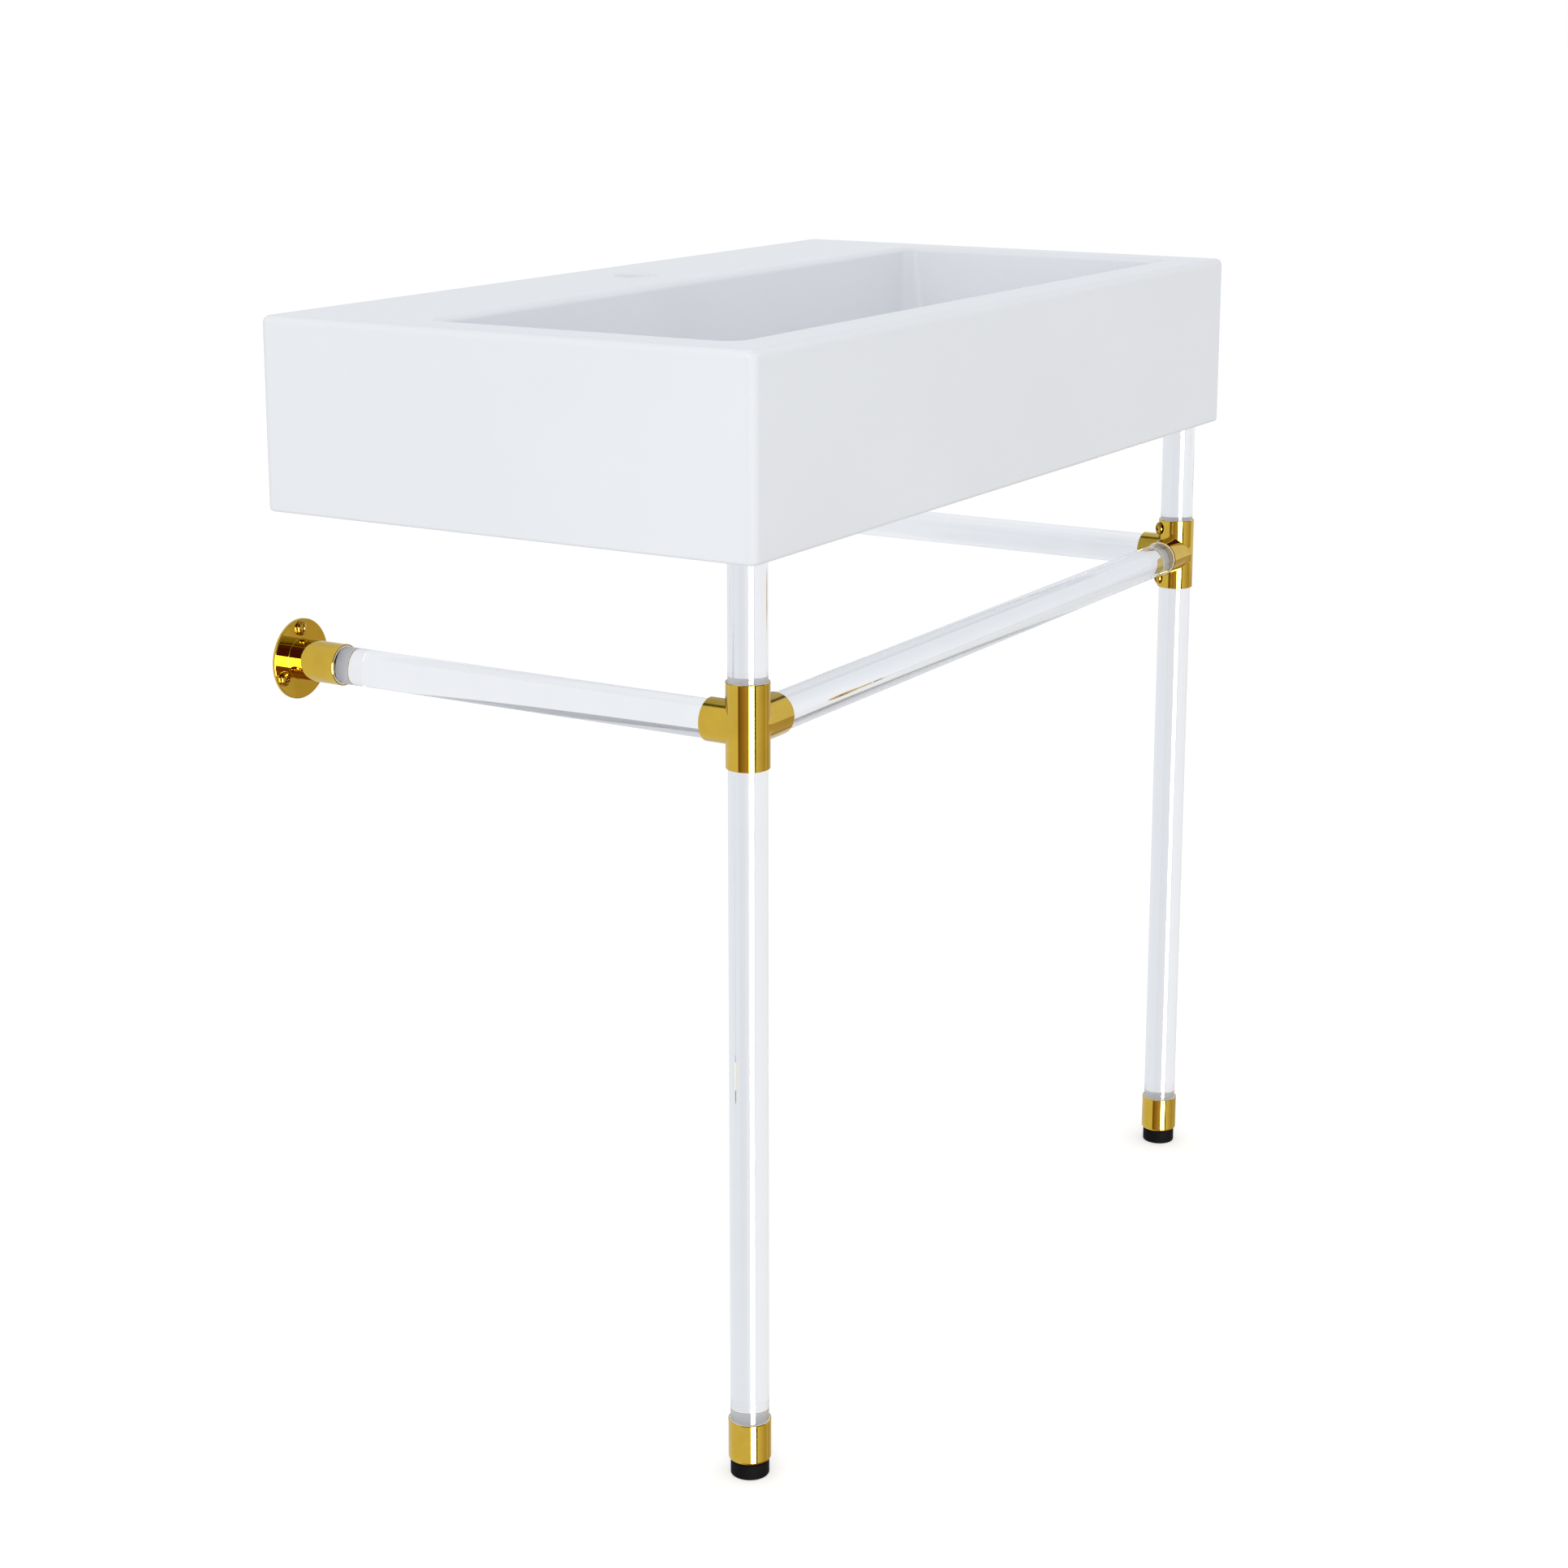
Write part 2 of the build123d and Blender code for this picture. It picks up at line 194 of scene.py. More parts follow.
def ramp(tree, source, low, high, start=0.3, end=0.7):
    """A smooth blend of two colours over a texture's grey value."""
    node = tree.nodes.new("ShaderNodeValToRGB")
    node.color_ramp.elements[0].position = start
    node.color_ramp.elements[0].color = (*low, 1)
    node.color_ramp.elements[1].position = end
    node.color_ramp.elements[1].color = (*high, 1)
    tree.links.new(source, node.inputs["Fac"])
    return node.outputs["Color"]


def spread(tree, source, low, high):
    """A texture's grey value, mapped to a range."""
    node = tree.nodes.new("ShaderNodeMapRange")
    node.inputs["To Min"].default_value = low
    node.inputs["To Max"].default_value = high
    tree.links.new(source, node.inputs["Value"])
    return node.outputs["Result"]


def relief(tree, source, shader, height):
    """Turns a grey value into surface relief of a height in metres."""
    node = tree.nodes.new("ShaderNodeBump")
    node.inputs["Distance"].default_value = height
    node.inputs["Strength"].default_value = 1.0
    tree.links.new(source, node.inputs["Height"])
    tree.links.new(node.outputs["Normal"], shader.inputs["Normal"])


def brass_finish(name, tone):
    """Polished brass: two close golds in slow clouds, and faint wiping marks in the gloss."""
    material, tree, shader = node_material(name)
    clouds = texture(tree, "ShaderNodeTexNoise", 55, Detail=3.0)
    deep, light = [np.array(tone) * factor for factor in (0.94, 1.05)]
    tree.links.new(ramp(tree, clouds.outputs["Fac"], deep, light), shader.inputs["Base Color"])
    wiping = texture(tree, "ShaderNodeTexNoise", 160, (1, 1, 3), Detail=6.0, Roughness=0.65)
    tree.links.new(spread(tree, wiping.outputs["Fac"], 0.015, 0.05), shader.inputs["Roughness"])
    shader.inputs["Metallic"].default_value = 1.0
    return material


polished_brass = brass_finish("polished_brass", (0.57, 0.385, 0.05))

flange_low, flange_high = node_box("wall_flange_left")
tube_radius = 16.65 * mm
flange_radius = (flange_high[0] - flange_low[0]) / 2
flange_mouth = -flange_low[1]
flange_plate = 2.5 * mm
flange_round = 0.8 * mm
flange_fillet = 0.4 * mm
mouth_bevel = 0.35 * mm
rod_radius = (node_box("rail_rod_front")[1][2] - node_box("rail_rod_front")[0][2]) / 2
bush_radius = (node_box("bush_flange_left")[1][2] - node_box("bush_flange_left")[0][2]) / 2
press_gap = 0.05 * mm
socket_gap = 0.1 * mm
socket_depth = 30 * mm
screw_circle = 25 * mm
screw_angles = (90, 210, 330)
screw_shank = 2 * mm
hole_radius = screw_shank + socket_gap
hole_reach = 4 * mm
foot_radius = 15 * mm
rail_z = (node_box("rail_rod_front")[0][2] + node_box("rail_rod_front")[1][2]) / 2
leg_x = {side: node_box(f"foot_pad_{side}")[0][0] + foot_radius for side in sides}
leg_y = node_box("foot_pad_left")[0][1] + foot_radius


def bush_length(place, axis):
    """The length of one of the grey bushes, which runs along one axis."""
    low, high = node_box(f"bush_{place}_left")
    return high[axis] - low[axis]


def socket_profile(mouth, depth, bush_seat):
    """Radius and distance down a socket: bevelled lip, bush seat, step, bore and flat floor."""
    bush_bore = bush_radius + press_gap
    bore = rod_radius + socket_gap
    return [
        (tube_radius, mouth - mouth_bevel),
        (tube_radius - mouth_bevel, mouth),
        (bush_bore, mouth),
        (bush_bore, mouth - bush_seat),
        (bore, mouth - bush_seat),
        (bore, mouth - depth),
        (0.0, mouth - depth),
    ]


def on_circle(side, angle, inwards):
    """A point of a flange's screw circle, at an angle in degrees and so far into the wall."""
    x = leg_x[side] + screw_circle * cos(radians(angle))
    return x, inwards, rail_z + screw_circle * sin(radians(angle))


for side in sides:
    rim = corner(flange_radius - flange_round, flange_plate - flange_round, flange_round, 0, 90)
    root_x, root_y = tube_radius + flange_fillet, flange_plate + flange_fillet
    root = corner(root_x, root_y, flange_fillet, 270, 180, 5)
    socket = socket_profile(flange_mouth, socket_depth, bush_length("flange", 1))
    profile = [(0.0, 0.0), (flange_radius, 0.0), *rim, *root, *socket]
    wall_point = (leg_x[side], 0.0, rail_z)
    flange = as_object(f"flange_{side}", *turned(profile, wall_point, (0, -1, 0), 192))
    hole = [(0, 0), (hole_radius, 0), (hole_radius, 2 * hole_reach), (0, 2 * hole_reach)]
    for angle in screw_angles:
        place = on_circle(side, angle, hole_reach)
        combine(flange, as_object("hole", *turned(hole, place, (0, -1, 0), 32)), "DIFFERENCE")
    fit(flange, polished_brass, "root", "polished_brass", f"wall_flange_{side}")

# Screws
# Turned brass screws with a pan head and a cross recess. Three hold each wall flange, and two in
# each corner fitting run through its tube into the leg's clear rods.
screw_brass = brass_finish("screw_brass", (0.45, 0.27, 0.035))
head_radius = 6 * mm
head_rise = -flange_plate - node_box("flange_screws_left")[0][1]
head_power = 2.6
head_rings = 64
head_steps = 144
cross_reach, cross_depth = 3.5 * mm, 2.0 * mm
cross_half, cross_soft, cross_taper = 0.85 * mm, 0.3 * mm, 0.45


def screw_surface(seat, direction, shank, turn):
    """A pan head as rings of a superellipse, (r / head radius)^p + (h / head rise)^p = 1, lowered
    by a cross: the depth falls off smoothly with the distance from two bars square to each other,
    and tapers towards their ends. A plain shank and a flat tip close it below."""
    first, second, axis = basis(direction)
    quarter = np.linspace(0, pi / 2, head_rings)[1:, None]
    angle = np.linspace(0, 2 * pi, head_steps, endpoint=False)[None, :]
    radius = head_radius * np.sin(quarter) ** (2 / head_power)
    dome = head_rise * np.abs(np.cos(quarter)) ** (2 / head_power)
    x, y = radius * np.cos(angle + turn), radius * np.sin(angle + turn)

    def bar(along, across):
        inside = np.clip((cross_half - np.abs(across)) / cross_soft + 0.5, 0, 1)
        length = np.clip((cross_reach - np.abs(along)) / (cross_reach * cross_taper), 0, 1)
        return inside * inside * (3 - 2 * inside) * length * (2 - length)

    height = dome - cross_depth * np.maximum(bar(x, y), bar(y, x))
    ring = np.cos(angle)[..., None] * first + np.sin(angle)[..., None] * second
    head = np.array(seat) + height[..., None] * axis + radius[..., None] * ring
    tip = np.array(seat) + (head_rise - cross_depth) * axis
    head = np.concatenate([np.broadcast_to(tip, (1, head_steps, 3)), head])
    under = [(head_radius, 0.0), (screw_shank, 0.0), (screw_shank, -shank), (0.0, -shank)]
    rings = grid_faces(head_rings, head_steps)
    return joined((head.reshape(-1, 3), rings), turned(under, seat, direction, head_steps))


def screw_set(name, places, shank, slot_node):
    """One piece that holds several like screws, each turned its own way."""
    screws = [
        screw_surface(seat, direction, shank, radians(12 + 37 * number))
        for number, (seat, direction) in enumerate(places)
    ]
    fit(as_object(name, *joined(*screws)), screw_brass, "root", "brass_screws", slot_node)


fitting_screw_lift = 24 * mm
fitting_screw_length = 12 * mm
inward = {"left": 1, "right": -1}
for side in sides:
    seats = [(on_circle(side, angle, -flange_plate), (0, -1, 0)) for angle in screw_angles]
    screw_set(f"screws_flange_{side}", seats, flange_plate, f"flange_screws_{side}")
    diagonal = np.array([inward[side], 1, 0]) / sqrt(2)
    middle = np.array([leg_x[side], leg_y, rail_z])
    seats = [
        (middle + diagonal * tube_radius + np.array([0, 0, lift]), diagonal)
        for lift in (fitting_screw_lift, -fitting_screw_lift)
    ]
    screw_set(f"screws_fitting_{side}", seats, fitting_screw_length, f"fitting_screws_{side}")

# Corner fittings
# Brass castings that join a leg to the front rail and the side rail. The upright tube and the two
# arms have one radius, so they meet in crisp mitres. Turned, polished and lacquered.
fitting_low, fitting_high = node_box("corner_fitting_left")
fitting_half = (fitting_high[2] - fitting_low[2]) / 2
web_half = 2 * mm
arm_web = 0.8 * mm
arm_floor = tube_radius + arm_web
front_arm = fitting_high[0] - leg_x["left"]
side_arm = fitting_high[1] - leg_y
seam_steps = 256
wall_rows = 6


def swept_tube(start, mouth, depth, bush_seat, turn, place):
    """A tube wall from a start curve to its bevel, then its socket. place turns (distance along
    the axis, angle, radius) into a point; start gives the first distance at each angle."""
    profile = np.array(socket_profile(mouth, depth, bush_seat))
    share = np.linspace(0, 1, wall_rows)[:, None]
    wall = start[None] * (1 - share) + (mouth - mouth_bevel) * share
    socket = np.broadcast_to(profile[1:, 1:], (len(profile) - 1, len(turn)))
    distance = np.concatenate([wall, socket])
    radius = np.concatenate([np.full((wall_rows, 1), tube_radius), profile[1:, :1]])
    points = place(distance, turn[None, :], radius)
    return points.reshape(-1, 3), grid_faces(len(distance), len(turn))


def corner_fitting(middle, inwards):
    """Upright: x = R cos t, y = R sin t, and its wall starts where it leaves both arms, at height
    max(0, R sin t, R cos t). An arm at angle t, whose height is R sin t, starts at the larger of
    R |sin t| and, on the other arm's side, R cos t. Equal angles make the seams meet."""
    turn = np.linspace(0, 2 * pi, seam_steps, endpoint=False)
    toward_x, toward_y = np.cos(turn), np.sin(turn)
    seam = tube_radius * np.maximum(0, np.maximum(toward_x, toward_y))
    arm_start = tube_radius * np.maximum(np.abs(toward_y), toward_x)

    def upright(sign):
        def place(distance, angle, radius):
            x = radius * np.cos(angle) * inwards + 0 * distance
            y = radius * np.sin(angle) + 0 * distance
            return np.stack([x, y, sign * distance + 0 * x], -1) + middle

        return place

    def front(distance, angle, radius):
        y = radius * np.cos(angle) + 0 * distance
        z = radius * np.sin(angle) + 0 * distance
        return np.stack([inwards * distance + 0 * y, y, z], -1) + middle

    def back(distance, angle, radius):
        x = radius * np.cos(angle) * inwards + 0 * distance
        z = radius * np.sin(angle) + 0 * distance
        return np.stack([x, distance + 0 * x, z], -1) + middle

    half, depth = fitting_half, fitting_half - web_half
    front_depth, side_depth = front_arm - arm_floor, side_arm - arm_floor
    return joined(
        swept_tube(seam, half, depth, bush_length("top", 2), turn, upright(1)),
        swept_tube(seam, half, depth, bush_length("bottom", 2), turn, upright(-1)),
        swept_tube(arm_start, front_arm, front_depth, bush_length("front", 0), turn, front),
        swept_tube(arm_start, side_arm, side_depth, bush_length("side", 1), turn, back),
    )


for side in sides:
    middle = np.array([leg_x[side], leg_y, rail_z])
    piece = as_object(f"fitting_{side}", *corner_fitting(middle, inward[side]))
    fit(piece, polished_brass, "root", "polished_brass", f"corner_fitting_{side}")

# Grey bushes
# Thin moulded sleeves of pale grey nylon that line each socket, level with its mouth, so that no
# metal touches the clear rod. They are pressed in, and show as a grey ring through the rod.


def grained(name, scale, detail, low, high, rough):
    """A material whose colour and gloss follow one fine grain, with the grain's grey value."""
    material, tree, shader = node_material(name)
    grain = texture(tree, "ShaderNodeTexNoise", scale, Detail=detail).outputs["Fac"]
    tree.links.new(ramp(tree, grain, low, high), shader.inputs["Base Color"])
    tree.links.new(spread(tree, grain, *rough), shader.inputs["Roughness"])
    return material, tree, shader, grain


nylon, nylon_tree, nylon_shader, nylon_grain = grained(
    "grey_nylon", 900, 4.0, (0.88, 0.88, 0.90), (0.93, 0.93, 0.95), (0.3, 0.45)
)
relief(nylon_tree, nylon_grain, nylon_shader, 0.03 * mm)
bush_hole = rod_radius + press_gap
ferrule_top = node_box("foot_ferrule_left")[1][2]
lip_round = 0.25 * mm


def bush_profile(length):
    """A thin ring with a rounded lip at its outer end."""
    lip = corner(bush_radius - lip_round, length - lip_round, lip_round, 0, 90, 5)
    return [(bush_hole, 0), (bush_radius, 0), *lip, (bush_hole, length), (bush_hole, 0)]


for side in sides:
    x, inwards = leg_x[side], inward[side]
    mouths = {
        "top": ((x, leg_y, rail_z + fitting_half), (0, 0, 1)),
        "bottom": ((x, leg_y, rail_z - fitting_half), (0, 0, -1)),
        "front": ((x + inwards * front_arm, leg_y, rail_z), (inwards, 0, 0)),
        "side": ((x, leg_y + side_arm, rail_z), (0, 1, 0)),
        "flange": ((x, -flange_mouth, rail_z), (0, -1, 0)),
        "ferrule": ((x, leg_y, ferrule_top), (0, 0, 1)),
    }
    for place, (mouth, direction) in mouths.items():
        along = np.array(direction)
        length = bush_length(place, np.abs(along).argmax())
        start = np.array(mouth) - length * along
        piece = as_object(f"sleeve_{place}_{side}", *turned(bush_profile(length), start, along))
        fit(piece, nylon, "root", "grey_nylon", f"bush_{place}_{side}")

# Clear rods
# Solid cast acrylic rod, polished on its round and on its cut ends. Two pieces make each leg, a
# front rail joins the legs, and a side rail runs back to the wall on each side. Lamplight and
# daylight pass straight through to the pieces behind.
clear, clear_tree, clear_shader = node_material("clear_acrylic")
haze = texture(clear_tree, "ShaderNodeTexNoise", 35, Detail=3.0)
clear_tree.links.new(
    ramp(clear_tree, haze.outputs["Fac"], (0.89, 0.90, 0.92), (0.91, 0.92, 0.94)),
    clear_shader.inputs["Base Color"],
)
polish = texture(clear_tree, "ShaderNodeTexNoise", 400, Detail=5.0)
clear_tree.links.new(
    spread(clear_tree, polish.outputs["Fac"], 0.0, 0.02), clear_shader.inputs["Roughness"]
)
clear_shader.inputs["IOR"].default_value = 1.49
clear_shader.inputs["Transmission Weight"].default_value = 1.0
clear_path = clear_tree.nodes.new("ShaderNodeLightPath")
lets_light = clear_tree.nodes.new("ShaderNodeMath")
lets_light.operation = "MAXIMUM"
clear_tree.links.new(clear_path.outputs["Is Shadow Ray"], lets_light.inputs[0])
clear_tree.links.new(clear_path.outputs["Is Diffuse Ray"], lets_light.inputs[1])
see_through = clear_tree.nodes.new("ShaderNodeBsdfTransparent")
see_through.inputs["Color"].default_value = (0.95, 0.955, 0.96, 1)
either = clear_tree.nodes.new("ShaderNodeMixShader")
clear_tree.links.new(lets_light.outputs[0], either.inputs[0])
clear_tree.links.new(clear_shader.outputs[0], either.inputs[1])
clear_tree.links.new(see_through.outputs[0], either.inputs[2])
clear_out = clear_tree.nodes["Material Output"]
clear_tree.links.new(either.outputs[0], clear_out.inputs["Surface"])
rod_bevel = 0.4 * mm
drill_start = 1 * mm
drill_past = 2.5 * mm


def rod_profile(length, hole_radius=0.0, hole_depth=0.0):
    """A solid bar with bevelled ends, bored from its far end if it has a hole."""
    profile = [
        (0, 0),
        (rod_radius - rod_bevel, 0),
        (rod_radius, rod_bevel),
        (rod_radius, length - rod_bevel),
        (rod_radius - rod_bevel, length),
    ]
    if hole_depth:
        profile += [(hole_radius, length), (hole_radius, length - hole_depth)]
        return profile + [(0, length - hole_depth)]
    return profile + [(0, length)]


def screw_hole(middle, direction, lift):
    """A drilled hole from outside a leg towards its axis."""
    start = middle + direction * (tube_radius + drill_start) + np.array([0, 0, lift])
    length = fitting_screw_length + drill_past
    profile = [(0, 0), (hole_radius, 0), (hole_radius, length), (0, length)]
    return as_object("drill", *turned(profile, start, -direction, 24))


front_low, front_high = node_box("rail_rod_front")
front_rail = as_object(
    "front_rail",
    *turned(rod_profile(front_high[0] - front_low[0]), (front_low[0], leg_y, rail_z), (1, 0, 0)),
)
fit(front_rail, clear, "root", "clear_acrylic", "rail_rod_front")
stud_room = 4.1 * mm
stud_air = 2 * mm
for side in sides:
    low, high = node_box(f"rail_rod_{side}")
    start = (leg_x[side], low[1], rail_z)
    rail = as_object(f"side_rail_{side}", *turned(rod_profile(high[1] - low[1]), start, (0, 1, 0)))
    fit(rail, clear, "root", "clear_acrylic", f"rail_rod_{side}")
    middle = np.array([leg_x[side], leg_y, rail_z])
    diagonal = np.array([inward[side], 1, 0]) / sqrt(2)
    low, high = node_box(f"leg_rod_upper_{side}")
    top = (leg_x[side], leg_y, high[2])
    upper = as_object(f"leg_upper_{side}", *turned(rod_profile(high[2] - low[2]), top, (0, 0, -1)))
    combine(upper, screw_hole(middle, diagonal, fitting_screw_lift), "DIFFERENCE")
    fit(upper, clear, "root", "clear_acrylic", f"leg_rod_upper_{side}")
    low, high = node_box(f"leg_rod_lower_{side}")
    top = (leg_x[side], leg_y, high[2])
    hole_depth = node_box(f"foot_stud_{side}")[1][2] + stud_air - low[2]
    profile = rod_profile(high[2] - low[2], stud_room, hole_depth)
    lower = as_object(f"leg_lower_{side}", *turned(profile, top, (0, 0, -1)))
    combine(lower, screw_hole(middle, diagonal, -fitting_screw_lift), "DIFFERENCE")
    fit(lower, clear, "root", "clear_acrylic", f"leg_rod_lower_{side}")

# Foot ferrules
# Turned brass cups on the bottom of the legs, polished like the fittings. The leg stands on a
# thick floor, which is threaded for the foot's stud.
ferrule_low, ferrule_high = node_box("foot_ferrule_left")
ferrule_length = ferrule_high[2] - ferrule_low[2]
ferrule_floor = 10 * mm
ferrule_round = 2.2 * mm
thread_hole = 4.05 * mm
for side in sides:
    rounded = corner(tube_radius - ferrule_round, ferrule_round, ferrule_round, 270, 360, 12)
    depth = ferrule_length - ferrule_floor
    socket = socket_profile(ferrule_length, depth, bush_length("ferrule", 2))[:-1]
    profile = [
        (thread_hole, 0),
        *rounded,
        *socket,
        (thread_hole, ferrule_floor),
        (thread_hole, 0),
    ]
    base = (leg_x[side], leg_y, ferrule_low[2])
    cup = as_object(f"ferrule_{side}", *turned(profile, base, (0, 0, 1), 160))
    fit(cup, polished_brass, "root", "polished_brass", f"foot_ferrule_{side}")

# Foot studs
# Zinc-plated M8 studs with a flat round head that is captive in the foot. Their thread shows when
# a foot is screwed out.
zinc, _, zinc_shader, _ = grained(
    "zinc_steel", 300, 5.0, (0.52, 0.53, 0.55), (0.68, 0.69, 0.70), (0.22, 0.4)
)
zinc_shader.inputs["Metallic"].default_value = 1.0
stud_radius = 4 * mm
pitch = 1.25 * mm
thread_depth = 0.68 * mm
thread_steps = 48
thread_rows = 290
plain_share = 0.6
stud_head_radius = 8 * mm
stud_head_height = 4 * mm
stud_bevel = 0.4 * mm
key_radius = 2.5 * mm / cos(radians(30))
key_depth = 3 * mm
key_flat = 0.134


def stud_surface(base, length):
    """A rod whose radius is the thread's crest less a triangle wave of (height / pitch - angle /
    one turn), so that the ridge is one right-handed helix; it fades out at both ends. The key's
    socket is a circle whose radius dips six times, by |sin 3t| of the angle t."""
    turn = np.linspace(0, 2 * pi, thread_steps, endpoint=False)[None, :]
    height = np.linspace(stud_head_height, length, thread_rows)[:, None]
    phase = (height / pitch - turn / (2 * pi)) % 1
    wave = np.abs(2 * phase - 1)
    fade = np.clip((height - stud_head_height) / pitch, 0, 1)
    fade = fade * np.clip((length - height) / (pitch / 2), 0, 1)
    radius = stud_radius - thread_depth * (wave * fade + plain_share * (1 - fade))
    wall = np.stack([radius * np.cos(turn), radius * np.sin(turn), height + 0 * turn], -1)
    axis_point = np.broadcast_to([0, 0, length], (1, thread_steps, 3))
    rim, top = stud_head_radius, stud_head_height
    head_profile = [
        (0, key_depth),
        (key_radius, key_depth),
        (key_radius, 0),
        (rim - stud_bevel, 0),
        (rim, stud_bevel),
        (rim, top - stud_bevel),
        (rim - stud_bevel, top),
    ]
    head = turned(head_profile, (0, 0, 0), (0, 0, 1), thread_steps)[0]
    head = head.reshape(len(head_profile), thread_steps, 3)
    head[1:3, :, :2] *= (1 - key_flat * np.abs(np.sin(3 * turn[0])))[:, None]
    rows = np.concatenate([head, wall, axis_point])
    return rows.reshape(-1, 3) + np.array(base), grid_faces(len(rows), thread_steps)


for side in sides:
    low, high = node_box(f"foot_stud_{side}")
    stud = as_object(f"stud_{side}", *stud_surface((leg_x[side], leg_y, low[2]), high[2] - low[2]))
    fit(stud, zinc, f"stud_{side}", "zinc_steel", f"foot_stud_{side}")

# Foot pads
# Moulded black rubber feet, the same width as the rod. The stud's head turns inside each, and a
# hole underneath takes the key.
black, black_tree, black_shader, black_grain = grained(
    "black_rubber", 1200, 4.0, (0.003, 0.003, 0.003), (0.006, 0.006, 0.007), (0.6, 0.8)
)
black_shader.inputs["Specular IOR Level"].default_value = 0.06
relief(black_tree, black_grain, black_shader, 0.04 * mm)
foot_bevel = 1 * mm
foot_groove = 0.8 * mm
foot_height = node_box("foot_pad_left")[1][2] - node_box("foot_pad_left")[0][2]
head_room = 8.3 * mm
room_low, room_high = 2.7 * mm, 7.3 * mm
key_hole = 4.5 * mm
for side in sides:
    low, high = node_box(f"foot_pad_{side}")
    foot_profile = [
        (key_hole, 0),
        *corner(foot_radius - foot_bevel, foot_bevel, foot_bevel, 270, 360, 6),
        (foot_radius, foot_height - foot_groove),
        (foot_radius - foot_groove, foot_height - foot_groove),
        (foot_radius - foot_groove, foot_height),
        (thread_hole, foot_height),
        (thread_hole, room_high),
        (head_room, room_high),
        (head_room, room_low),
        (key_hole, room_low),
        (key_hole, 0),
    ]
    pad = as_object(f"pad_{side}", *turned(foot_profile, (leg_x[side], leg_y, low[2]), (0, 0, 1)))
    fit(pad, black, f"foot_{side}", "black_rubber", f"foot_pad_{side}")

# Leg top caps
# Moulded grey rubber cups over the tops of the legs. They sit in round pockets under the basin's
# front corners and keep the clear rod off the ceramic.
rubber, rubber_tree, rubber_shader, rubber_grain = grained(
    "grey_rubber", 700, 4.0, (0.30, 0.30, 0.31), (0.38, 0.38, 0.39), (0.55, 0.75)
)
relief(rubber_tree, rubber_grain, rubber_shader, 0.05 * mm)
cap_top = 3 * mm
cap_round = 0.5 * mm
for side in sides:
    low, high = node_box(f"leg_top_cap_{side}")
    height = high[2] - low[2]
    radius = (high[0] - low[0]) / 2
    profile = [
        (0, height - cap_top),
        (bush_hole, height - cap_top),
        (bush_hole, 0),
        *corner(radius - cap_round, cap_round, cap_round, 270, 360, 5),
        *corner(radius - cap_round, height - cap_round, cap_round, 0, 90, 5),
        (0, height),
    ]
    cap = as_object(f"cap_{side}", *turned(profile, (leg_x[side], leg_y, low[2]), (0, 0, 1)))
    fit(cap, rubber, "root", "grey_rubber", f"leg_top_cap_{side}")

# Basin
# One slip-cast ceramic slab under a white glaze, with a deep straight-sided bowl, a rear deck with
# one tap hole and a hollow underside. It hangs on two wall bolts and rests on the leg caps.
glaze, glaze_tree, glaze_shader = node_material("white_glaze")
clouding = texture(glaze_tree, "ShaderNodeTexNoise", 6, Detail=2.0)
glaze_tree.links.new(
    ramp(glaze_tree, clouding.outputs["Fac"], (0.795, 0.815, 0.85), (0.81, 0.83, 0.865)),
    glaze_shader.inputs["Base Color"],
)
flow = texture(glaze_tree, "ShaderNodeTexNoise", 18, Detail=1.0)
glaze_tree.links.new(
    spread(glaze_tree, flow.outputs["Fac"], 0.10, 0.16), glaze_shader.inputs["Roughness"]
)
relief(glaze_tree, flow.outputs["Fac"], glaze_shader, 0.12 * mm)
basin_low, basin_high = node_box("basin")
basin_top, basin_bottom = basin_high[2], basin_low[2]
half_width = (basin_high[0] - basin_low[0]) / 2
basin_front = basin_low[1]
side_round = 8 * mm
top_round = 6 * mm
foot_round = 3 * mm
wall = 9 * mm
deck = 12 * mm
rim = 42 * mm
deck_depth = 134 * mm
bowl_depth = 112 * mm
bowl_draft = 8 * mm
mouth_corner = 14 * mm
floor_corner = 30 * mm
mouth_round = 5 * mm
cove = 20 * mm
under_cove = 24 * mm
dish_radius = 100 * mm
dish_drop = 3 * mm
seat_radius = 33 * mm
seat_drop = 2 * mm
drain_radius = 22.5 * mm
edge_soft, soft_in, soft_down = 0.6 * mm, 0.15 * mm, 0.18 * mm
corner_ease = 0.3 * mm
cavity_corner = 6 * mm
bowl_floor = basin_top - bowl_depth
bowl_middle = (basin_front + rim - deck_depth) / 2
bowl_half_x = half_width - rim
bowl_half_y = (-deck_depth - basin_front - rim) / 2
lean = np.arctan2(bowl_draft, bowl_depth)
corner_steps = 10
long_steps = 40
short_steps = 16
edge_rows = 9
mouth_rows = 10
cove_rows = 14
under_rows = 12


def ring(middle_y, half_x, half_y, radius, height):
    """A rounded rectangle at one height: four quarter arcs, joined by evenly divided straights."""
    points = []
    for number, (sign_x, sign_y) in enumerate(((1, 1), (-1, 1), (-1, -1), (1, -1))):
        angle = np.radians(90 * number + np.linspace(0, 90, corner_steps))
        x = sign_x * (half_x - radius) + radius * np.cos(angle)
        y = middle_y + sign_y * (half_y - radius) + radius * np.sin(angle)
        points.append(np.stack([x, y], -1))
    loop = []
    for number in range(4):
        start, end = points[number][-1], points[(number + 1) % 4][0]
        steps = long_steps if number % 2 == 0 else short_steps
        share = np.linspace(0, 1, steps + 1)[1:-1, None]
        loop += [points[number], start * (1 - share) + end * share]
    loop = np.concatenate(loop)
    return np.concatenate([loop, np.full((len(loop), 1), height)], -1)


